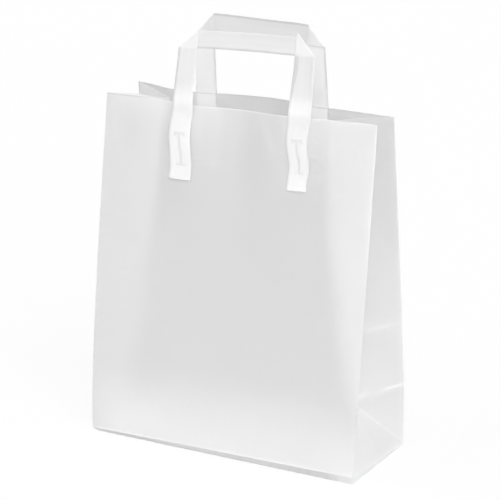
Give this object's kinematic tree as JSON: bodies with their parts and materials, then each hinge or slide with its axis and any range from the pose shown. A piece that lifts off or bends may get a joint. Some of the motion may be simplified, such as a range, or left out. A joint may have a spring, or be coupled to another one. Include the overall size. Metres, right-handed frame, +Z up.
{
  "type": "plastic carrier bag",
  "caption": "Frosted see-through plastic carrier bag with a folded flat bottom, side gussets and flat folded tape handles.",
  "frame": {"origin": "centre of the folded base, on the surface the bag stands on", "axes": "+Z up towards the mouth and handles, -Y out of the front panel, X across the bag from gusset to gusset"},
  "size_m": [0.25, 0.1054, 0.3591],
  "materials": {
    "film": "frosted translucent film, satin",
    "tape": "frosted translucent tape folded flat, satin"
  },
  "bodies": {
    "root": {"bag_body": "film", "front_handle": "tape", "rear_handle": "tape"}
  },
  "joints": []
}
